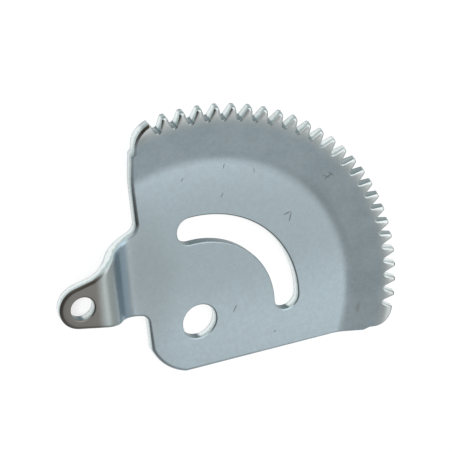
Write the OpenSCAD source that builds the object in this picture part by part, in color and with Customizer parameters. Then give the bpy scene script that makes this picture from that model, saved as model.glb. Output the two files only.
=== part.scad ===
// Toothed sector plate, stamped and formed from one piece of steel sheet.
// A flat web swings on the pivot hole, a curved slot runs about the same axis,
// the outer rim is dished up and carries the teeth, and a joggled ear takes a link.
// Origin on the pivot axis at the back face, Z towards the raised rim, sizes in millimetres.

/* [Sheet] */
// Thickness of the steel sheet
sheet_t = 6; // [4:0.5:7]
// Width of the broken front edge of the holes and the slot
edge_break = 0.5; // [0.2:0.1:1]

/* [Pivot] */
// Diameter of the pivot hole
pivot_d = 20; // [12:0.5:28]
// Radius of the round corner about the pivot
hub_r = 30.3; // [29.6:0.1:32]
// Distance of the lower and the lower left edge from the pivot, level with it
edge_at = 29; // [27:0.1:29.2]

/* [Slot] */
// Radius of the middle line of the slot about the pivot
slot_r = 54.3; // [50:0.1:62]
// Width of the slot
slot_w = 15.2; // [8:0.1:18]
// Direction of the centre of the lower slot end
slot_from = 1.7; // [-4:0.1:30]
// Direction of the centre of the upper slot end
slot_to = 93.4; // [60:0.1:96]

/* [Rim] */
// Radius about the pivot at which the rim bends up, on the front face
bend_at = 93.4; // [88:0.1:98]
// Inner radius of that bend
bend_r = 16; // [6:0.5:24]
// Tilt of the rim against the web
rim_tilt = 20; // [8:0.5:30]
// Radius about the pivot of the tooth tips, on the front face
tip_r = 121.3; // [117:0.1:126]

/* [Teeth] */
// Number of full teeth
tooth_n = 24; // [8:1:24]
// Angle from one tooth to the next
tooth_step = 4.467; // [4.2:0.001:4.5]
// Direction of the middle of the toothed run
tooth_mid = 47.06; // [46:0.01:48]
// Depth of the gaps between the teeth, along the rim
tooth_depth = 6.6; // [4:0.1:7.2]
// Pressure angle of the tooth flanks
pressure = 20; // [14:0.5:22]
// Radius of the round bottom of each gap
root_r = 1.45; // [0.8:0.05:1.6]

/* [Rim ends] */
// Turn of the lower edge, outwards to the rim
low_turn = 0.9; // [0.4:0.1:1.4]
// Distance of the upper left edge from the pivot, level with it
side_at = 30; // [29.4:0.1:30.6]
// Turn of both left edges, outwards to the rim
side_turn = 2.9; // [2.4:0.1:3.4]
// Distance of the trimmed edge at the upper rim end from the pivot
side_x = 33.8; // [33.4:0.1:34.4]
// Radius of the rounded outer corner at both rim ends
corner_r = 12; // [9:0.5:13]
// Length of the trimmed edge next to the rounded corner
trim_run = 1.6; // [0.5:0.1:3]
// Depth of the step from the trimmed edge to the plate edge
trim_depth = 1.6; // [1.2:0.1:2.4]
// Length of that step at the lower rim end
low_step = 4; // [2:0.5:6]
// Length of that step at the upper rim end
side_step = 1.5; // [1:0.5:4]

/* [Ear] */
// Distance of the link hole to the left of the pivot
link_x = 68.5; // [67:0.1:74]
// Height of the link hole above the pivot
link_y = 30.2; // [27:0.1:34]
// Diameter of the link hole
link_d = 12.5; // [8:0.1:16]
// Radius of the round end of the ear
ear_r = 11.6; // [10.5:0.1:13]
// Distance of the centre of the round end past the link hole
ear_out = 0.4; // [0:0.1:2]
// Height of the centre of the round end above the ear's middle line
ear_up = 0.4; // [0:0.1:1]
// Turn of the ear's middle line against the X axis
ear_turn = 2.2; // [-1:0.1:5]
// Taper of the upper flank at the round end
ear_taper = 12; // [4:0.5:15]
// Taper of the lower flank
low_taper = 13.5; // [4:0.5:15]
// Slope of the wider upper flank against the ear's middle line
ear_flare = 28; // [20:0.5:30]
// Distance from the link hole to the start of that flank
flare_at = 7; // [2:0.5:9]
// Lift of the ear over the web
ear_rise = 11.5; // [11:0.1:14]
// Slope of the joggle
joggle_slope = 52; // [45:1:55]
// Inner radius of the joggle's bend at the ear
joggle_r = 7; // [4:0.5:7.5]
// Inner radius of the joggle's bend at the web
foot_r = 12; // [6:0.5:13]
// Distance from the link hole to the start of the joggle
joggle_x = 32.3; // [30:0.1:33]
// Radius of the hollow corner above the ear
upper_hollow = 5.5; // [1:0.5:8]
// Radius of the hollow corner below the ear
lower_hollow = 5.5; // [2:0.5:8]

/* [Hidden] */
$fn = 96;
steel = [0.66, 0.71, 0.73];
// Room by which a cutter runs past the faces it cuts
past = 3;
// Excess by which a round crosses the straight faces it runs into
blend = 0.02;

// Flat inside the rim bend, sharp corner of the bend on the back face and front tip height
back_at = bend_at + sheet_t * tan(rim_tilt / 2);
tip_z = sheet_t + (tip_r - bend_at) * tan(rim_tilt);
// Outermost radius, at the back edge of the tips
rim_out = tip_r + sheet_t * sin(rim_tilt);
reach = rim_out + past;
top_z = tip_z + ear_rise + sheet_t;

// Tooth gap: slope of each flank against the gap's middle, and the tangent points of the round bottom
flank = pressure + tooth_step / 4;
root_x = root_r - tooth_depth;
flank_x = root_x - root_r * sin(flank);
flank_y = root_r * cos(flank);
gap_y = flank_y + (past - flank_x) * tan(flank);

// Directions of the rounded corners at both rim ends, and how far their waste runs out
corner_at = tip_r - corner_r * cos(rim_tilt);
low_end = asin((edge_at - corner_r) / corner_at);
side_end = asin((side_x - corner_r) / corner_at);
waste_out = 2 * corner_r;
steps_out = 3;

// Joggle section: outer bend radii, and its sharp corners on the front and back face
joggle_out = joggle_r + sheet_t;
foot_out = foot_r + sheet_t;
low_front = joggle_x - foot_r * tan(joggle_slope / 2);
low_back = joggle_x - foot_out * tan(joggle_slope / 2);
high_front = low_front - ear_rise / tan(joggle_slope);
high_back = low_back - ear_rise / tan(joggle_slope);
// Width of the strip in which the ear is formed, and its length past the link hole
ear_strip = 6 * ear_r;
ear_end = ear_out + ear_r + past;

// Ear outline about the link hole, x towards the web
up_tan = [-ear_out - ear_r * sin(ear_taper), ear_up + ear_r * cos(ear_taper)];
low_tan = [-ear_out - ear_r * sin(low_taper), ear_up - ear_r * cos(low_taper)];
flare_y = up_tan.y + (flare_at - up_tan.x) * tan(ear_taper);
root_in = link_x - edge_at + past;
flare_end = flare_y + (root_in - flare_at) * tan(ear_flare);
taper_end = low_tan.y - (root_in - low_tan.x) * tan(low_taper);

// Hollow corners, where the ear's flanks meet the left plate edges
up_slope = ear_flare + ear_turn;
low_slope = low_taper - ear_turn;
flare_start = [
  flare_at * cos(ear_turn) - flare_y * sin(ear_turn) - link_x,
  flare_at * sin(ear_turn) + flare_y * cos(ear_turn) + link_y
];
taper_start = [
  low_tan.x * cos(ear_turn) - low_tan.y * sin(ear_turn) - link_x,
  low_tan.x * sin(ear_turn) + low_tan.y * cos(ear_turn) + link_y
];
up_y = (flare_start.y - (side_at + flare_start.x) * tan(up_slope)) / (1 + tan(up_slope) * tan(side_turn));
low_y = (taper_start.y + (edge_at + taper_start.x) * tan(low_slope)) / (1 - tan(low_slope) * tan(side_turn));

// Corner in which the lower and the lower left edge meet, and how far the waste about it runs out
hub_corner = edge_at * (1 - tan(side_turn)) / (1 - tan(low_turn) * tan(side_turn));
hub_out = 2 * hub_r;

// Points of the straight edges: lower edge at x, upper and lower left edge at y
function low_edge(x) = [x, -edge_at - x * tan(low_turn)];
function up_left(y) = [-side_at - y * tan(side_turn), y];
function low_left(y) = [-edge_at - y * tan(side_turn), y];

// Piece between a corner and the round of radius r in it, where faces run off in directions a and b.
// Added to an inner corner it fills it, taken from an outer corner it rounds it.
module corner_round(corner, a, b, r) {
  half = (b - a) / 2;
  mid = a + half;
  run = r / tan(half);
  centre = corner + r / sin(half) * [cos(mid), sin(mid)];
  difference() {
    polygon([
      corner - past * [cos(mid), sin(mid)],
      corner + run * [cos(a), sin(a)],
      centre,
      corner + run * [cos(b), sin(b)]
    ]);
    translate(centre) circle(r + blend);
  }
}

// Web and rim as one dished disc
module dish() {
  rotate_extrude($fn = 180) difference() {
    union() {
      polygon([
        [0, 0],
        [back_at, 0],
        [rim_out, tip_z - sheet_t * cos(rim_tilt)],
        [tip_r, tip_z],
        [bend_at, sheet_t],
        [0, sheet_t]
      ]);
      corner_round([bend_at, sheet_t], rim_tilt, 180, bend_r);
    }
    corner_round([back_at, 0], rim_tilt, 180, bend_r + sheet_t);
  }
}

// Upright body over a plan, through the full height of the plate
module upright() {
  translate([0, 0, -past]) linear_extrude(top_z + 2 * past) children();
}

// Plan of the web, running out past the tooth tips
module web_plan() {
  polygon([
    low_edge(-hub_corner),
    low_edge(reach),
    [reach, reach],
    up_left(reach),
    up_left(up_y - past),
    low_left(up_y - past)
  ]);
}

// Waste outside the round corner about the pivot
module hub_waste() {
  difference() {
    polygon([[0, 0], [-hub_out, 0], [-hub_out, -hub_out], [0, -hub_out]]);
    circle(hub_r);
  }
}

// Frame about the link hole, turned with the ear
module at_link() {
  translate([-link_x, link_y]) rotate(ear_turn) children();
}

// Plan of the ear, running into the web
module ear_plan() {
  polygon([
    up_tan,
    [flare_at, flare_y],
    [root_in, flare_end],
    [root_in, taper_end],
    low_tan
  ]);
}

// Everything within the outline of the plate
module outline() {
  difference() {
    upright() web_plan();
    upright() hub_waste();
  }
  upright() at_link() ear_plan();
  upright() at_link() translate([-ear_out, ear_up]) circle(ear_r + blend);
  upright() corner_round(up_left(up_y), 90 + side_turn, 180 + up_slope, upper_hollow);
  upright() corner_round(low_left(low_y), 180 - low_slope, 270 + side_turn, lower_hollow);
}

// Sheet of the ear with its two bends, over a wide strip
module joggle() {
  rising = 180 - joggle_slope;
  falling = 360 - joggle_slope;
  at_link() rotate([90, 0, 0]) linear_extrude(ear_strip, center = true) difference() {
    union() {
      polygon([
        [-ear_end, ear_rise],
        [high_back, ear_rise],
        [low_back, 0],
        [joggle_x, 0],
        [joggle_x, sheet_t],
        [low_front, sheet_t],
        [high_front, ear_rise + sheet_t],
        [-ear_end, ear_rise + sheet_t]
      ]);
      corner_round([low_front, sheet_t], 0, rising, foot_r);
      corner_round([high_back, ear_rise], 180, falling, joggle_r);
    }
    corner_round([low_back, 0], 0, rising, foot_out);
    corner_round([high_front, ear_rise + sheet_t], 180, falling, joggle_out);
  }
}

// Space on the ear's side of the joggle
module ear_side() {
  at_link() translate([joggle_x - ear_strip, -ear_strip / 2, -past]) cube([ear_strip, ear_strip, top_z]);
}

// Section of one side of a hole, from its middle to its wall, wider over the broken front edge
module hole_side(half) {
  polygon([
    [0, -past],
    [half, -past],
    [half, sheet_t - edge_break],
    [half + edge_break + past, sheet_t + past],
    [0, sheet_t + past]
  ]);
}

// Round hole through the sheet
module hole(d) {
  rotate_extrude() hole_side(d / 2);
}

// Section of the slot's curved run
module slot_section() {
  half = slot_w / 2 - blend;
  polygon([
    [-half, -past],
    [half, -past],
    [half, sheet_t - edge_break],
    [half + edge_break + past, sheet_t + past],
    [-half - edge_break - past, sheet_t + past],
    [-half, sheet_t - edge_break]
  ]);
}

// Slot about the pivot, round at both ends
module slot() {
  rotate([0, 0, slot_from])
    rotate_extrude(angle = slot_to - slot_from, $fn = 180)
      translate([slot_r, 0]) slot_section();
  for (a = [slot_from, slot_to])
    rotate([0, 0, a]) translate([slot_r, 0]) hole(slot_w);
}

// Frame on the rim's front face at a tooth tip, x outwards along the slope
module on_rim(a) {
  rotate([0, 0, a])
    translate([tip_r, 0, tip_z])
      rotate([0, -rim_tilt, 0])
        translate([0, 0, -sheet_t - past])
          linear_extrude(sheet_t + 2 * past)
            children();
}

// Outline of one gap between two teeth
module gap_plan() {
  translate([root_x, 0]) circle(root_r + blend, $fn = 32);
  polygon([
    [flank_x, flank_y],
    [past, gap_y],
    [past, -gap_y],
    [flank_x, -flank_y]
  ]);
}

// Waste outside the rounded corner of a rim end, with the step of the trimmed edge
module corner_waste(end, step) {
  lean = atan(tan(end) * cos(rim_tilt));
  translate([-corner_r, 0]) rotate(lean) difference() {
    polygon([
      [0, 0],
      [0, -corner_r],
      [-trim_run, -corner_r],
      [-trim_run - steps_out * step, -corner_r - steps_out * trim_depth],
      [waste_out, -corner_r - waste_out],
      [waste_out * cos(lean), -waste_out * sin(lean)]
    ]);
    circle(corner_r + blend);
  }
}

module sector_plate() {
  color(steel) difference() {
    union() {
      difference() {
        intersection() {
          dish();
          outline();
        }
        ear_side();
      }
      intersection() {
        joggle();
        outline();
      }
    }
    hole(pivot_d);
    at_link() translate([0, 0, ear_rise]) hole(link_d);
    slot();
    for (i = [0 : tooth_n])
      on_rim(tooth_mid + (i - tooth_n / 2) * tooth_step) gap_plan();
    on_rim(-low_end) corner_waste(low_end, low_step);
    on_rim(90 + side_end) mirror([0, 1]) corner_waste(side_end, side_step);
  }
}

sector_plate();
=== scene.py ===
import math

import bmesh
import bpy
from mathutils import Matrix, Quaternion, Vector


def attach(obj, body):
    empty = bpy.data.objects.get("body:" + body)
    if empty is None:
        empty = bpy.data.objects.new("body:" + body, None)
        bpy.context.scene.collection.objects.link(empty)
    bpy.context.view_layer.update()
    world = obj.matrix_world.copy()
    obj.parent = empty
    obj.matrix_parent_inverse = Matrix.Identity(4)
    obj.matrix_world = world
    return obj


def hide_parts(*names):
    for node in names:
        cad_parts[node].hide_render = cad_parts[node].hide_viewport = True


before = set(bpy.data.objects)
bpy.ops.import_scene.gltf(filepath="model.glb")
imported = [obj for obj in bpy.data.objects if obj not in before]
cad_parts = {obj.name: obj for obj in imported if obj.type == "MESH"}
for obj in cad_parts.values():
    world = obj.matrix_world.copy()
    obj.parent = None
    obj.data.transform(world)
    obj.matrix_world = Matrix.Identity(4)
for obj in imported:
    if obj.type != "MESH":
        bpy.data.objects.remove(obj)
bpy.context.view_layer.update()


# Sector plate.
# One piece of 6 mm steel sheet, zinc plated. A press punches the flat blank, which drags its front edges
# into a small roll, then dishes the rim up and joggles the ear.
MM = 0.001
sheet = 6.0


def polar(radius, direction):
    turn = math.radians(direction)
    return Vector((radius * math.cos(turn), radius * math.sin(turn)))


def arc(centre, radius, start, stop, step):
    count = max(2, round(abs(stop - start) / step))
    return [centre + polar(radius, start + (stop - start) * i / count) for i in range(count + 1)]


def ease(value, low, high):
    share = min(max((value - low) / (high - low), 0.0), 1.0)
    return share * share * (3 - 2 * share)


# Rim and teeth, laid out on the front face: the rim slopes up outside the bend, and each gap between two
# teeth has straight flanks and a round bottom.
bend_at = 93.4
bend_r = 22.0
rim_tilt = math.radians(20.0)
tip_r = 121.3
bend_in = bend_at - bend_r * math.tan(rim_tilt / 2)
tooth_count = 24
tooth_step = 4.467
tooth_mid = 47.06
tooth_depth = 6.6
root_r = 1.45
tip_round = 0.45
flank = math.radians(20.0 + tooth_step / 4)
root_out = root_r - tooth_depth


def on_rim(direction, out, along):
    radial = tip_r + out * math.cos(rim_tilt)
    return polar(math.hypot(radial, along), direction + math.degrees(math.atan2(along, radial)))


def gap_half(out):
    return root_r * math.cos(flank) + (out - root_out + root_r * math.sin(flank)) * math.tan(flank)


def tooth_gap(direction):
    swing = 90 + math.degrees(flank)
    bottom = arc(Vector((root_out, 0)), root_r, -swing, swing - 360, 15)
    broken = -tip_round * math.cos(flank)
    places = [Vector((0, -gap_half(0) - tip_round)), Vector((broken, -gap_half(broken)))] + bottom
    places += [Vector((broken, gap_half(broken))), Vector((0, gap_half(0) + tip_round))]
    return [on_rim(direction, place.x, place.y) for place in places]


# Straight edges, each turned a little outwards to the rim, and rim ends with a rounded corner, a short
# trimmed edge and a step out to the straight edge.
edge_at = 29.0
low_turn = math.radians(0.9)
side_at = 30.0
side_turn = math.radians(2.9)
side_x = 33.8
corner_r = 12.0
low_trim = 1.6
side_trim = 4.4
trim_depth = 1.6
corner_at = tip_r - corner_r * math.cos(rim_tilt)
low_end = math.asin((edge_at - corner_r) / corner_at)
side_end = math.asin((side_x - corner_r) / corner_at)


def inside_low(place):
    return place.y + edge_at + place.x * math.tan(low_turn)


def inside_side(place):
    return place.x + side_at + place.y * math.tan(side_turn)


def rim_corner(direction, hand, end, trim, step, short, inside):
    lean = math.atan(math.tan(end) * math.cos(rim_tilt))

    def placed(place):
        spot = Matrix.Rotation(lean, 2) @ place - Vector((corner_r, 0))
        return on_rim(direction, spot.x, hand * spot.y)

    trimmed = placed(Vector((-trim, -corner_r)))
    sloped = placed(Vector((-trim - step, -corner_r - trim_depth)))
    share = inside(trimmed) / (inside(trimmed) - inside(sloped))
    rounded = arc(Vector((0, 0)), corner_r, -90, -math.degrees(lean) - short, 8)
    return [trimmed.lerp(sloped, share), trimmed] + [placed(place) for place in rounded]


# Ear about the link hole, with hollow corners where its flanks meet the plate edges.
link = Vector((-68.5, 30.2))
ear_r = 11.6
ear_out = 0.4
ear_up = 0.4
ear_turn = math.radians(2.2)
ear_taper = math.radians(12.0)
low_taper = math.radians(13.5)
ear_flare = math.radians(28.0)
flare_at = 7.0
upper_hollow = 5.5
lower_hollow = 5.5
up_tangent = Vector((-ear_out - ear_r * math.sin(ear_taper), ear_up + ear_r * math.cos(ear_taper)))
low_tangent = Vector((-ear_out - ear_r * math.sin(low_taper), ear_up - ear_r * math.cos(low_taper)))
flare_y = up_tangent.y + (flare_at - up_tangent.x) * math.tan(ear_taper)
up_slope = ear_flare + ear_turn
low_slope = low_taper - ear_turn


def at_link(u, v):
    return link + Matrix.Rotation(ear_turn, 2) @ Vector((u, v))


def hollow(corner, first, second, radius):
    half = math.radians(second - first) / 2
    centre = corner + polar(radius / math.sin(half), (first + second) / 2)
    return arc(centre, radius, first - 90, second - 270, 10)


flare_start = at_link(flare_at, flare_y)
taper_start = at_link(low_tangent.x, low_tangent.y)
up_y = flare_start.y - (side_at + flare_start.x) * math.tan(up_slope)
up_y /= 1 + math.tan(up_slope) * math.tan(side_turn)
up_corner = Vector((-side_at - up_y * math.tan(side_turn), up_y))
low_y = taper_start.y + (edge_at + taper_start.x) * math.tan(low_slope)
low_y /= 1 - math.tan(low_slope) * math.tan(side_turn)
low_corner = Vector((-edge_at - low_y * math.tan(side_turn), low_y))


# The outline runs round the hub, along the lower edge, over the teeth, down the left edge and round the ear.
# A roll is how far in and how deep the sheared edge is drawn. After it come how dark the painted shade on
# the roll is at the first and the last place, and how dark the painted shade on the wall under it is.
def drawn(places, roll, painted_roll_shade=(0.0, 0.0), painted_wall_shade=0.0):
    count = max(len(places) - 1, 1)
    shades = [painted_roll_shade[0] + (painted_roll_shade[1] - painted_roll_shade[0]) * i / count for i in range(len(places))]
    return [(place, *roll, shade, painted_wall_shade) for place, shade in zip(places, shades)]


def between(direction, start, full, fade, end):
    return ease(direction, start, full) * (1 - ease(direction, fade, end))


hub_roll = (1.9, 1.1)
low_roll = (1.1, 0.9)
tooth_roll = (0.9, 0.65)
corner_roll = (1.5, 1.1)
side_roll = (1.7, 1.1)
neck_roll = (2.0, 1.2)
ear_roll = (2.0, 1.1)
under_roll = (1.2, 0.9)
hole_roll = (0.8, 0.7)
hub_r = 30.3
hub_first = 180 + math.degrees(side_turn + math.acos(edge_at * math.cos(side_turn) / hub_r))
hub_last = 270 - math.degrees(low_turn + math.acos(edge_at * math.cos(low_turn) / hub_r))
outline = drawn(arc(Vector((0, 0)), hub_r, hub_first, hub_last, 4), hub_roll, painted_roll_shade=(0.45, 0.15))
low_step = 4.0
low_rim = rim_corner(-math.degrees(low_end), 1, low_end, low_trim, low_step, 0, inside_low)
outline += drawn(low_rim, low_roll, painted_roll_shade=(0.08, 0.2))

# The painted shade on the rolls and walls changes round the toothed rim, by the direction of the gap from the
# pivot.
for number in range(tooth_count + 1):
    direction = tooth_mid + (number - tooth_count / 2) * tooth_step
    gap = tooth_gap(direction)
    upright = ease(direction, 45, 58)
    tip_painted_roll = 0.75 * (1 - ease(direction, 4, 14))
    tip_painted_wall = 0.3 + 0.3 * upright
    flank_painted_roll = 0.9 * ease(direction, 72, 86) + 0.35 * (1 - ease(direction, 6, 16))
    flank_painted_wall = 0.8 * between(direction, 9, 17, 40, 50) + 0.22 * between(direction, 50, 60, 76, 86)
    flank_painted_wall += 0.1 * (1 - ease(direction, 5, 9))
    root_painted_roll = 0.7 * upright
    root_painted_wall = max(0.85 * upright, flank_painted_wall)
    next_painted_roll = 0.4 * upright
    next_painted_wall = max(0.5 * upright, flank_painted_wall)
    outline += drawn(gap[:1], tooth_roll, painted_roll_shade=(tip_painted_roll, tip_painted_roll), painted_wall_shade=tip_painted_wall)
    outline += drawn(gap[1:3], tooth_roll, painted_roll_shade=(flank_painted_roll, 0.0), painted_wall_shade=flank_painted_wall)
    outline += drawn(gap[3:7], tooth_roll, painted_roll_shade=(root_painted_roll, root_painted_roll), painted_wall_shade=root_painted_wall)
    outline += drawn(gap[7:-3], tooth_roll, painted_roll_shade=(next_painted_roll, 0.0), painted_wall_shade=next_painted_wall)
    outline += drawn(gap[-3:-1], tooth_roll)
    if number < tooth_count:
        outline += drawn(gap[-1:], tooth_roll, painted_roll_shade=(tip_painted_roll, tip_painted_roll), painted_wall_shade=tip_painted_wall)

side_step = 1.5
side_short = 11.0
side_direction = 90 + math.degrees(side_end)
side_rim = rim_corner(side_direction, -1, side_end, side_trim, side_step, side_short, inside_side)
side_rim.reverse()
outline += drawn(side_rim[:3], corner_roll, painted_roll_shade=(1.0, 1.0), painted_wall_shade=0.4)
outline += drawn(side_rim[3:-2], corner_roll, painted_roll_shade=(1.0, 0.3))
outline += drawn(side_rim[-2:], side_roll, painted_roll_shade=(0.25, 0.2), painted_wall_shade=0.2)
neck_edge = hollow(up_corner, 90 + math.degrees(side_turn), 180 + math.degrees(up_slope), upper_hollow)
outline += drawn(neck_edge[:3], neck_roll, painted_roll_shade=(0.75, 0.1), painted_wall_shade=0.2)
outline += drawn(neck_edge[3:], neck_roll)
outline += drawn([neck_edge[-1].lerp(flare_start, 0.72)], ear_roll, painted_roll_shade=(0.05, 0.05))
ear_first = 90 + math.degrees(ear_taper + ear_turn)
ear_last = 270 - math.degrees(low_taper - ear_turn)
ear_end = arc(at_link(-ear_out, ear_up), ear_r, ear_first, ear_last, 6)
outline += drawn([flare_start] + ear_end, ear_roll, painted_roll_shade=(0.95, 0.35))
under_edge = hollow(low_corner, 180 - math.degrees(low_slope), 270 + math.degrees(side_turn), lower_hollow)
outline += drawn(under_edge, under_roll, painted_roll_shade=(0.2, 0.45))

# Holes and slot, each run through the other way round.
pivot_r = 10.0
link_r = 6.25
hole_painted_roll = (0.5, 0.5)
slot_r = 54.3
slot_half = 7.6
slot_from = 1.7
slot_to = 93.4
slot_edge = arc(Vector((0, 0)), slot_r + slot_half, slot_to, slot_from, 2)
slot_edge += arc(polar(slot_r, slot_from), slot_half, slot_from, slot_from - 180, 8)[1:-1]
slot_edge += arc(Vector((0, 0)), slot_r - slot_half, slot_from, slot_to, 2)
slot_edge += arc(polar(slot_r, slot_to), slot_half, slot_to + 180, slot_to, 8)[1:-1]
pivot_hole = drawn(arc(Vector((0, 0)), pivot_r, 360, 0, 5)[:-1], hole_roll, hole_painted_roll)
link_hole = drawn(arc(link, link_r, 360, 0, 7.5)[:-1], hole_roll, hole_painted_roll)
slot_hole = drawn(slot_edge, hole_roll, hole_painted_roll)

# Flat blank: the outlines are drawn at the back face and extruded ring by ring up the cut wall and over the
# roll, which is deeper on the tooth tips, and both faces are filled. In the holes and the slot the walls that
# face the rim get painted shade, and so does the roll on the side next to the rim.
back_break = 0.35
tip_deeper = 0.3
hole_pale_from = 86
slot_pale_from = 100
pale_run = 11
blank = bmesh.new()
place_on = blank.verts.layers.int.new("place_on_outline")
wall = blank.verts.layers.float.new("cut_wall")
painted_wall_layer = blank.verts.layers.float.new("painted_shade_wall")
painted_roll_shade = blank.verts.layers.float.new("painted_shade_roll")
up_wall = blank.verts.layers.float.new("up_the_wall")
wall_rings = ((False, 90), (True, 0))
roll_rings = ((True, 22.5), (True, 45), (True, 67.5))
edge_points = []


def edge_place(number, front, angle):
    point, inward, width, depth = edge_points[number][:4]
    lean = math.radians(angle)
    if front:
        inset = width * (1 - math.cos(lean))
        height = sheet - depth * (1 - math.sin(lean))
    else:
        inset = back_break * (1 - math.sin(lean))
        height = back_break * (1 - math.cos(lean))
    return (point + inward * inset).to_3d() + Vector((0, 0, height))


ring = []
for loop in (outline, pivot_hole, link_hole, slot_hole):
    corners = []
    for i, (here, width, depth, roll_dark, wall_dark) in enumerate(loop):
        before, after = loop[i - 1][0], loop[(i + 1) % len(loop)][0]
        first = (here - before).orthogonal().normalized()
        second = (after - here).orthogonal().normalized()
        inward = (first + second) / (1 + first.dot(second))
        tip_share = min(max((here.length - tip_r + tooth_depth) / tooth_depth, 0.0), 1.0)
        facing = math.degrees(math.atan2(-inward.y, -inward.x)) % 360
        # In the holes and the slot, painted shade is set by the way the wall faces.
        if loop is not outline:
            pale_from = slot_pale_from if loop is slot_hole else hole_pale_from
            wall_dark = 1 - between(facing, pale_from, pale_from + pale_run, 300, 330)
            roll_dark *= between(facing, 115, 140, 270, 300)
        depth *= 1 + tip_deeper * tip_share
        edge_points.append((here, inward, width, depth, roll_dark, wall_dark))
        corner = blank.verts.new(edge_place(len(edge_points) - 1, False, 0))
        corner[place_on] = len(edge_points) - 1
        corners.append(corner)
    ring += [blank.edges.new(pair) for pair in zip(corners, corners[1:] + corners[:1])]

bmesh.ops.triangle_fill(blank, use_beauty=True, edges=ring)
for front, angle in ((False, 45), *wall_rings, *roll_rings, (True, 90)):
    grown = bmesh.ops.extrude_edge_only(blank, edges=ring)["geom"]
    corners = [part for part in grown if isinstance(part, bmesh.types.BMVert)]
    for corner in corners:
        # Painted shade goes on the wall rings and the roll rings.
        roll_dark, wall_dark = edge_points[corner[place_on]][4:]
        corner.co = edge_place(corner[place_on], front, angle)
        corner[wall] = float((front, angle) in wall_rings)
        corner[painted_wall_layer] = wall_dark * ((front, angle) in wall_rings)
        corner[painted_roll_shade] = roll_dark * ((front, angle) in roll_rings)
        corner[up_wall] = float(front)
    fresh = set(corners)
    ring = [part for part in grown if isinstance(part, bmesh.types.BMEdge) and fresh.issuperset(part.verts)]
bmesh.ops.triangle_fill(blank, use_beauty=True, edges=ring)
bmesh.ops.recalc_face_normals(blank, faces=blank.faces)


# Lines across the blank where it bends: spokes and rings under the dished rim, and straight lines across
# the ear.
def cut_blank(parts, point, normal):
    found = bmesh.ops.bisect_plane(blank, geom=parts, dist=1e-4, plane_co=point, plane_no=normal)
    return found["geom"]


def with_borders(faces):
    parts = dict.fromkeys(faces)
    for face in faces:
        parts.update(dict.fromkeys(face.edges))
        parts.update(dict.fromkeys(face.verts))
    return list(parts)


def reaches_rim(face):
    return max(corner.co.xy.length for corner in face.verts) > bend_in


spoke_step = tooth_step / 6
first_spoke = -91
last_spoke = 92
for spoke in range(first_spoke, last_spoke + 1):
    ahead = polar(1, tooth_mid + spoke * spoke_step)
    crossed = [f for f in blank.faces if f.calc_center_median().xy.dot(ahead) > 0 and reaches_rim(f)]
    cut_blank(with_borders(crossed), (0, 0, 0), (-ahead.y, ahead.x, 0))

wedges = {}
for face in blank.faces:
    if reaches_rim(face):
        middle = face.calc_center_median()
        turn = math.degrees(math.atan2(middle.y, middle.x)) - tooth_mid
        wedges.setdefault(math.floor(turn / spoke_step), []).append(face)
dome_at = 114.6
dome_full = 118.0
crown_at = 115.6
rings = [bend_in + bend_r * math.sin(math.radians(turn)) for turn in (0, 3, 6, 9, 12, 15, 18, 20)]
rings += [102.0, 108.0, 112.0, dome_at, crown_at, 116.8, dome_full, 119.2, 120.3]
for spoke, faces in wedges.items():
    ahead = polar(1, tooth_mid + (spoke + 0.5) * spoke_step)
    parts = with_borders(faces)
    for radius in rings:
        point = ahead * radius * math.cos(math.radians(spoke_step / 2))
        parts = cut_blank(parts, point.to_3d(), ahead.to_3d())

ear_rise = 11.5
joggle_slope = math.radians(52.0)
joggle_x = 32.3
foot_r = 12.0
top_r = 7.0 + sheet
joggle_corner = joggle_x - foot_r * math.tan(joggle_slope / 2)
ear_flat = joggle_corner - ear_rise / math.tan(joggle_slope) - top_r * math.tan(joggle_slope / 2)
ear_ahead = Vector((math.cos(ear_turn), math.sin(ear_turn), 0))
bends = [joggle_x - foot_r * math.sin(joggle_slope * i / 8) for i in range(9)]
bends += [ear_flat + top_r * math.sin(joggle_slope * i / 8) for i in range(9)]
parts = with_borders([f for f in blank.faces if min(corner.co.x for corner in f.verts) < link.x + joggle_x])
for bend in bends:
    parts = cut_blank(parts, at_link(bend, 0).to_3d(), ear_ahead)


# Forming: every point keeps its depth below the front face, which is dished outside the bend and joggled at
# the ear. The teeth droop a little to their tips and flanks on the front, where the punch drew metal down.
crown = 1.15
dome = 0.45
toothed_half = tooth_count / 2 * tooth_step
near_edge = 1.0
off_edge = 3.0


def dished(radius, depth, direction):
    droop = max((radius - crown_at) / (tip_r - crown_at), 0.0)
    off_middle = abs((direction - tooth_mid) / tooth_step % 1 - 0.5) * math.radians(tooth_step) * radius
    tooth_half = math.radians(tooth_step) * radius / 2 - gap_half((radius - tip_r) / math.cos(rim_tilt))
    off_share = min(off_middle / tooth_half, 1.0) * (abs(direction - tooth_mid) < toothed_half)
    drawn_down = crown * droop * droop + dome * off_share * off_share * ease(radius, dome_at, dome_full)
    depth += drawn_down * (1 - depth / sheet)
    slope = math.asin(min((radius - bend_in) / bend_r, math.sin(rim_tilt)))
    height = sheet + bend_r * (1 - math.cos(slope))
    height += max(radius - bend_in - bend_r * math.sin(rim_tilt), 0.0) * math.tan(rim_tilt)
    return radius + depth * math.sin(slope), height - depth * math.cos(slope)


def joggled(u, depth):
    low = joggle_x - foot_r * math.sin(joggle_slope)
    high = ear_flat + top_r * math.sin(joggle_slope)
    if u > low:
        slope = math.asin((joggle_x - u) / foot_r)
        height = sheet + foot_r * (1 - math.cos(slope))
    elif u > high:
        slope = joggle_slope
        height = sheet + foot_r * (1 - math.cos(slope)) + (low - u) * math.tan(slope)
    else:
        slope = math.asin(min(max((u - ear_flat) / top_r, 0.0), 1.0))
        height = sheet + ear_rise - top_r * (1 - math.cos(slope))
    return u - depth * math.sin(slope), height - depth * math.cos(slope)


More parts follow.
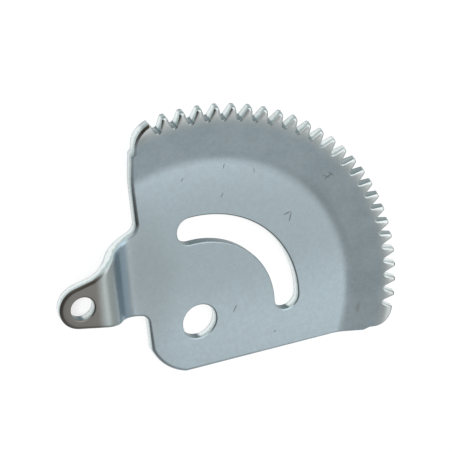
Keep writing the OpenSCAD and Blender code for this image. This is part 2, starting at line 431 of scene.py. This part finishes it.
for corner in blank.verts:
    flat = corner.co.xy
    depth = sheet - corner.co.z
    local = Matrix.Rotation(-ear_turn, 2) @ (flat - link)
    if flat.length > bend_in:
        radius, height = dished(flat.length, depth, math.degrees(math.atan2(flat.y, flat.x)))
        out = flat.normalized() * radius
        out.y += (inside_low(flat) - inside_low(out)) * (1 - ease(inside_low(flat), near_edge, off_edge))
        out.x += (inside_side(flat) - inside_side(out)) * (1 - ease(inside_side(flat), near_edge, off_edge))
        corner.co = out.to_3d() + Vector((0, 0, height))
    elif local.x < joggle_x:
        u, height = joggled(local.x, depth)
        corner.co = at_link(u, local.y).to_3d() + Vector((0, 0, height))

bmesh.ops.remove_doubles(blank, verts=blank.verts, dist=1e-3)
bmesh.ops.scale(blank, vec=(MM, MM, MM), verts=blank.verts)
bmesh.ops.recalc_face_normals(blank, faces=blank.faces)
plate_mesh = bpy.data.meshes.new("formed_sector_plate")
blank.to_mesh(plate_mesh)
blank.free()
plate_mesh.shade_smooth()
plate_mesh.set_sharp_from_angle(angle=math.radians(40))
plate = bpy.data.objects.new("formed_sector_plate", plate_mesh)
bpy.context.scene.collection.objects.link(plate)
even = plate.modifiers.new("even_faces", "WEIGHTED_NORMAL")
even.mode = "FACE_AREA"
even.keep_sharp = True

# Bright zinc on rolled sheet: a satin grey-blue metal with a fine grain and soft clouds, painted reflection
# in brown and blue on the ear, painted shade on walls and rolls, upright streaks on the cut walls and a few
# scratches.
zinc = bpy.data.materials.new("bright_zinc")
zinc.use_nodes = True
zinc_nodes = zinc.node_tree.nodes
zinc_links = zinc.node_tree.links
surface = zinc_nodes["Principled BSDF"]
surface.inputs["Metallic"].default_value = 1.0
where = zinc_nodes.new("ShaderNodeTexCoord").outputs["Object"]
where_along = zinc_nodes.new("ShaderNodeSeparateXYZ")
zinc_links.new(where, where_along.inputs["Vector"])


def zinc_noise(scale, detail, stretch=(1, 1, 1), turn=0.0):
    spread = zinc_nodes.new("ShaderNodeMapping")
    spread.inputs["Scale"].default_value = stretch
    spread.inputs["Rotation"].default_value = (0, 0, math.radians(turn))
    zinc_links.new(where, spread.inputs["Vector"])
    noise = zinc_nodes.new("ShaderNodeTexNoise")
    noise.inputs["Scale"].default_value = scale
    noise.inputs["Detail"].default_value = detail
    zinc_links.new(spread.outputs["Vector"], noise.inputs["Vector"])
    return noise.outputs["Fac"]


def zinc_range(value, low, high, to_low, to_high):
    span = zinc_nodes.new("ShaderNodeMapRange")
    span.interpolation_type = "SMOOTHSTEP"
    span.inputs["From Min"].default_value = low
    span.inputs["From Max"].default_value = high
    span.inputs["To Min"].default_value = to_low
    span.inputs["To Max"].default_value = to_high
    zinc_links.new(value, span.inputs["Value"])
    return span.outputs["Result"]


def zinc_tint(share, base, tint):
    mix = zinc_nodes.new("ShaderNodeMix")
    mix.data_type = "RGBA"
    zinc_links.new(share, mix.inputs["Factor"])
    for socket, colour in ((mix.inputs["A"], base), (mix.inputs["B"], tint)):
        if isinstance(colour, tuple):
            socket.default_value = (*colour, 1)
        else:
            zinc_links.new(colour, socket)
    return mix.outputs["Result"]


def zinc_math(operation, first, second):
    step = zinc_nodes.new("ShaderNodeMath")
    step.operation = operation
    zinc_links.new(first, step.inputs[0])
    zinc_links.new(second, step.inputs[1])
    return step.outputs["Value"]


mark_height = 3.0


def scratch(start, stop, height, width, core=0.4):
    run = Vector(stop) - Vector(start)
    across = zinc_nodes.new("ShaderNodeMapping")
    across.vector_type = "TEXTURE"
    middle = (Vector(start) + Vector(stop)) / 2 * MM
    across.inputs["Location"].default_value = (middle.x, middle.y, height * MM)
    across.inputs["Rotation"].default_value = (0, 0, math.atan2(run.y, run.x))
    across.inputs["Scale"].default_value = ((run.length / 2 + width) * MM, width * MM, mark_height * MM)
    zinc_links.new(where, across.inputs["Vector"])
    off = zinc_nodes.new("ShaderNodeVectorMath")
    off.operation = "LENGTH"
    zinc_links.new(across.outputs["Vector"], off.inputs[0])
    return zinc_range(off.outputs["Value"], core, 1.0, 1, 0)


def marked(places, height):
    shares = [scratch(start, stop, height, width) for start, stop, width in places]
    marks = shares[0]
    for share in shares[1:]:
        marks = zinc_math("MAXIMUM", marks, share)
    return marks


def from_mesh(name):
    node = zinc_nodes.new("ShaderNodeAttribute")
    node.attribute_name = name
    return node.outputs["Fac"]


def zinc_bump(height, strength, distance, below=None):
    bump = zinc_nodes.new("ShaderNodeBump")
    bump.inputs["Strength"].default_value = strength
    bump.inputs["Distance"].default_value = distance * MM
    zinc_links.new(height, bump.inputs["Height"])
    if below is not None:
        zinc_links.new(below, bump.inputs["Normal"])
    return bump.outputs["Normal"]


clouds = zinc_noise(70, 4)
mottle = zinc_noise(420, 3)
grain = zinc_noise(1800, 3)
hairs = zinc_noise(60, 5, stretch=(1, 40, 40), turn=35)
streaks = zinc_noise(900, 3, stretch=(1, 1, 0.06))
on_wall = from_mesh("cut_wall")
along_x = where_along.outputs["X"]
in_plan = zinc_nodes.new("ShaderNodeVectorMath")
in_plan.operation = "MULTIPLY"
in_plan.inputs[1].default_value = (1, 1, 0)
zinc_links.new(where, in_plan.inputs[0])
pivot_off = zinc_nodes.new("ShaderNodeVectorMath")
pivot_off.operation = "LENGTH"
zinc_links.new(in_plan.outputs["Vector"], pivot_off.inputs[0])
from_pivot = pivot_off.outputs["Value"]

# Plain sheet: two tones in clouds, finely mottled, darker across the middle and down the left side, and
# lighter on the teeth, where a highlight is painted.
zinc_dark = (0.455, 0.555, 0.60)
zinc_light = (0.495, 0.595, 0.64)
mottle_grey = (0.36, 0.41, 0.43)
grain_grey = (0.31, 0.36, 0.38)
middle_band_grey = (0.25, 0.295, 0.31)
left_band_grey = (0.27, 0.29, 0.295)
painted_tooth_highlight = (0.645, 0.675, 0.66)
colour = zinc_tint(zinc_range(clouds, 0.35, 0.65, 0, 1), zinc_dark, zinc_light)
colour = zinc_tint(zinc_range(mottle, 0.3, 0.7, 0.26, 0), colour, mottle_grey)
colour = zinc_tint(zinc_range(grain, 0.35, 0.65, 0.14, 0), colour, grain_grey)
# Darker across the middle of the web and down its left side.
middle_band = scratch((-60, 54), (110, 40), sheet, width=68, core=0.1)
colour = zinc_tint(zinc_range(middle_band, 0, 1, 0, 0.45), colour, middle_band_grey)
left_band = scratch((-31, 68), (-27, -10), sheet, width=28, core=0.0)
colour = zinc_tint(zinc_range(left_band, 0, 1, 0, 0.35), colour, left_band_grey)
# A painted highlight on the teeth, lighter towards the tips.
colour = zinc_tint(zinc_range(from_pivot, 111.0 * MM, 118.5 * MM, 0, 0.85), colour, painted_tooth_highlight)

# Ear: painted reflection, warm grey up the joggle, brown on the flat, and a blue band at the joggle's foot.
ear_reflection_grey = (0.44, 0.485, 0.475)
ear_reflection_brown = (0.226, 0.218, 0.203)
foot_reflection_blue = (0.37, 0.48, 0.56)
colour = zinc_tint(zinc_range(along_x, -47.0 * MM, -53.0 * MM, 0, 0.85), colour, ear_reflection_grey)
colour = zinc_tint(zinc_range(along_x, -55.8 * MM, -61.5 * MM, 0, 1), colour, ear_reflection_brown)
foot_start = zinc_range(along_x, -51.0 * MM, -45.5 * MM, 0, 1)
foot_end = zinc_range(along_x, -42.0 * MM, -38.0 * MM, 1, 0)
foot = zinc_math("MULTIPLY", foot_start, foot_end)
colour = zinc_tint(zinc_range(foot, 0, 1, 0, 0.9), colour, foot_reflection_blue)

# Scratches on the web and the rim, and two brown smears on the rim.
scratch_grey = (0.14, 0.15, 0.15)
rim_grey = (0.16, 0.165, 0.165)
smear_brown = (0.26, 0.24, 0.21)
corner_brown = (0.30, 0.27, 0.24)
scratches = marked((
    ((52.2, 52.1), (57.5, 53.3), 0.6),
    ((57.5, 53.3), (55.9, 46.9), 0.6),
    ((20.1, 0.1), (22.7, 5.0), 0.55),
    ((46.0, -18.6), (46.6, -18.0), 0.6),
    ((16.9, 85.2), (17.8, 88.6), 0.4),
    ((35.0, 79.8), (34.9, 83.0), 0.4),
    ((-7.4, 82.6), (-5.8, 84.8), 0.4),
    ((15.0, 69.6), (16.6, 72.4), 0.4),
), height=sheet)
colour = zinc_tint(zinc_range(scratches, 0, 1, 0, 0.8), colour, scratch_grey)
rim_marks = marked((
    ((75.6, 69.0), (80.8, 73.6), 0.6),
    ((74.6, 72.6), (79.0, 70.2), 0.45),
    ((77.6, 74.2), (81.4, 71.0), 0.45),
), height=10.5)
colour = zinc_tint(zinc_range(rim_marks, 0, 1, 0, 0.6), colour, rim_grey)
low_smear = scratch((100.8, -12.5), (99.4, -19.0), height=9, width=2.2, core=0.0)
colour = zinc_tint(zinc_range(low_smear, 0, 1, 0, 0.4), colour, smear_brown)
corner_smear = scratch((-32.5, 108.5), (-25.5, 115.8), height=12.5, width=2.6, core=0.0)
colour = zinc_tint(zinc_range(corner_smear, 0, 1, 0, 0.45), colour, corner_brown)

# Cut walls: bright in the middle, duller at the back and the front edge, with painted shade where the walls
# face the rim and painted shade on the roll.
wall_bright = (0.77, 0.82, 0.82)
wall_back = (0.36, 0.40, 0.41)
wall_front = (0.35, 0.44, 0.44)
painted_wall_grey = (0.095, 0.14, 0.155)
painted_roll_brown = (0.055, 0.047, 0.04)
zone = zinc_nodes.new("ShaderNodeMath")
zone.operation = "MULTIPLY_ADD"
zinc_links.new(streaks, zone.inputs[0])
zone.inputs[1].default_value = 0.5
zinc_links.new(from_mesh("up_the_wall"), zone.inputs[2])
up_zone = zone.outputs["Value"]
sheared_colour = zinc_tint(zinc_range(up_zone, 0.25, 0.5, 0.5, 0), wall_bright, wall_back)
sheared_colour = zinc_tint(zinc_range(up_zone, 0.75, 1.1, 0, 0.8), sheared_colour, wall_front)
colour = zinc_tint(on_wall, colour, sheared_colour)
# Painted shade on the walls and on the rolls.
colour = zinc_tint(from_mesh("painted_shade_wall"), colour, painted_wall_grey)
colour = zinc_tint(from_mesh("painted_shade_roll"), colour, painted_roll_brown)
zinc_links.new(colour, surface.inputs["Base Color"])
zinc_links.new(zinc_range(clouds, 0.3, 0.7, 0.25, 0.33), surface.inputs["Roughness"])
relief = zinc_bump(grain, strength=0.02, distance=0.2)
relief = zinc_bump(hairs, strength=0.03, distance=0.2, below=relief)
wall_streaks = zinc_math("MULTIPLY", streaks, on_wall)
relief = zinc_bump(wall_streaks, strength=0.25, distance=0.3, below=relief)
zinc_links.new(relief, surface.inputs["Normal"])

plate_mesh.materials.append(zinc)
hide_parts("sector_plate")
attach(plate, "root")


# Floor and light.
# A plain white floor under a soft sun from the camera's side, in a grey room. The flat web mirrors a bright
# screen, the teeth a lamp and a low window, the lower rim a dim side and the left edges a dark one.
floor_half = 30
floor_at = -0.2
paper_glow = 0.65
floor_mesh = bpy.data.meshes.new("floor")
floor_sheet = bmesh.new()
bmesh.ops.create_grid(floor_sheet, x_segments=1, y_segments=1, size=floor_half)
bmesh.ops.translate(floor_sheet, vec=(0, 0, floor_at * MM), verts=floor_sheet.verts)
floor_sheet.to_mesh(floor_mesh)
floor_sheet.free()
floor = bpy.data.objects.new("floor", floor_mesh)
bpy.context.scene.collection.objects.link(floor)
paper = bpy.data.materials.new("white_paper")
paper.use_nodes = True
paper_nodes = paper.node_tree.nodes
paper_links = paper.node_tree.links
matt = paper_nodes["Principled BSDF"]
matt.inputs["Base Color"].default_value = (1, 1, 1, 1)
matt.inputs["Roughness"].default_value = 1.0
matt.inputs["Specular IOR Level"].default_value = 0.0
seen_by = paper_nodes.new("ShaderNodeLightPath")
seen = seen_by.outputs["Is Camera Ray"]
for ray in ("Is Glossy Ray", "Is Transmission Ray"):
    either = paper_nodes.new("ShaderNodeMath")
    either.operation = "MAXIMUM"
    paper_links.new(seen, either.inputs[0])
    paper_links.new(seen_by.outputs[ray], either.inputs[1])
    seen = either.outputs["Value"]
pale = paper_nodes.new("ShaderNodeMath")
pale.operation = "MULTIPLY"
pale.inputs[1].default_value = paper_glow
paper_links.new(seen, pale.inputs[0])
lit_paper = paper_nodes.new("ShaderNodeMixShader")
paper_links.new(pale.outputs["Value"], lit_paper.inputs["Fac"])
paper_links.new(matt.outputs["BSDF"], lit_paper.inputs[1])
white = paper_nodes.new("ShaderNodeEmission")
paper_links.new(white.outputs["Emission"], lit_paper.inputs[2])
paper_links.new(lit_paper.outputs["Shader"], paper_nodes["Material Output"].inputs["Surface"])
floor_mesh.materials.append(paper)

room = bpy.data.worlds.new("room")
bpy.context.scene.world = room
room.use_nodes = True
room_nodes = room.node_tree.nodes
room_links = room.node_tree.links
looking = room_nodes.new("ShaderNodeTexCoord").outputs["Generated"]

# Each part of the room is a direction, the angles from it at which the part is full and gone, and its tone.
room_grey = (0.545, 0.55, 0.55, 1)
screen = ((0.43, -0.35, 0.83), 8, 21, (1.05, 1.06, 1.06, 1))
lamp = ((0.47, 0.12, 0.874), 13, 22, (1.90, 1.90, 1.90, 1))
dark_side = ((-0.85, -0.20, 0.49), 22, 38, (0.28, 0.28, 0.28, 1))
dim_side = ((-0.20, -0.50, 0.84), 10, 30, (0.46, 0.46, 0.46, 1))
window = ((0.10, 0.88, 0.46), 20, 50, (1.50, 1.52, 1.52, 1))
light = room_grey
for side, full, none, tone in (screen, lamp, dark_side, dim_side, window):
    towards = room_nodes.new("ShaderNodeVectorMath")
    towards.operation = "DOT_PRODUCT"
    towards.inputs[1].default_value = Vector(side).normalized()
    room_links.new(looking, towards.inputs[0])
    edge = room_nodes.new("ShaderNodeMapRange")
    edge.interpolation_type = "SMOOTHSTEP"
    edge.inputs["From Min"].default_value = math.cos(math.radians(none))
    edge.inputs["From Max"].default_value = math.cos(math.radians(full))
    room_links.new(towards.outputs["Value"], edge.inputs["Value"])
    glow = room_nodes.new("ShaderNodeMix")
    glow.data_type = "RGBA"
    room_links.new(edge.outputs["Result"], glow.inputs["Factor"])
    if isinstance(light, tuple):
        glow.inputs["A"].default_value = light
    else:
        room_links.new(light, glow.inputs["A"])
    glow.inputs["B"].default_value = tone
    light = glow.outputs["Result"]
room_links.new(light, room_nodes["Background"].inputs["Color"])

sun_data = bpy.data.lights.new("soft_sun", "SUN")
sun_data.energy = 1.85
sun_data.angle = math.radians(12)
sun = bpy.data.objects.new("soft_sun", sun_data)
sun_from = Vector((-0.395, 0.390, 0.832))
sun.rotation_euler = sun_from.to_track_quat("Z", "Y").to_euler()
sun.visible_glossy = False
bpy.context.scene.collection.objects.link(sun)

# Camera, at the photograph's angle: it stands up on the rim's left and is rolled so that the teeth are at
# the top.
aim = Vector((20.37, 50.13, 0)) * MM
camera_far = 566.93 * MM
camera_azimuth = math.radians(135.421)
camera_elevation = math.radians(56.278)
camera_roll = math.radians(127.506)
sensor = 36
focal_pixels = 1049.8
picture_pixels = 452
outward = Vector((
    math.cos(camera_elevation) * math.cos(camera_azimuth),
    math.cos(camera_elevation) * math.sin(camera_azimuth),
    math.sin(camera_elevation),
))
camera_data = bpy.data.cameras.new("camera")
camera_data.sensor_width = sensor
camera_data.lens = sensor * focal_pixels / picture_pixels
camera_data.clip_start = 10.0 * MM
camera = bpy.data.objects.new("camera", camera_data)
camera.location = aim + outward * camera_far
turned = outward.to_track_quat("Z", "Y") @ Quaternion((0, 0, 1), camera_roll)
camera.rotation_euler = turned.to_euler()
bpy.context.scene.collection.objects.link(camera)
bpy.context.scene.camera = camera

bpy.context.scene.view_settings.view_transform = "Standard"

bpy.context.view_layer.update()
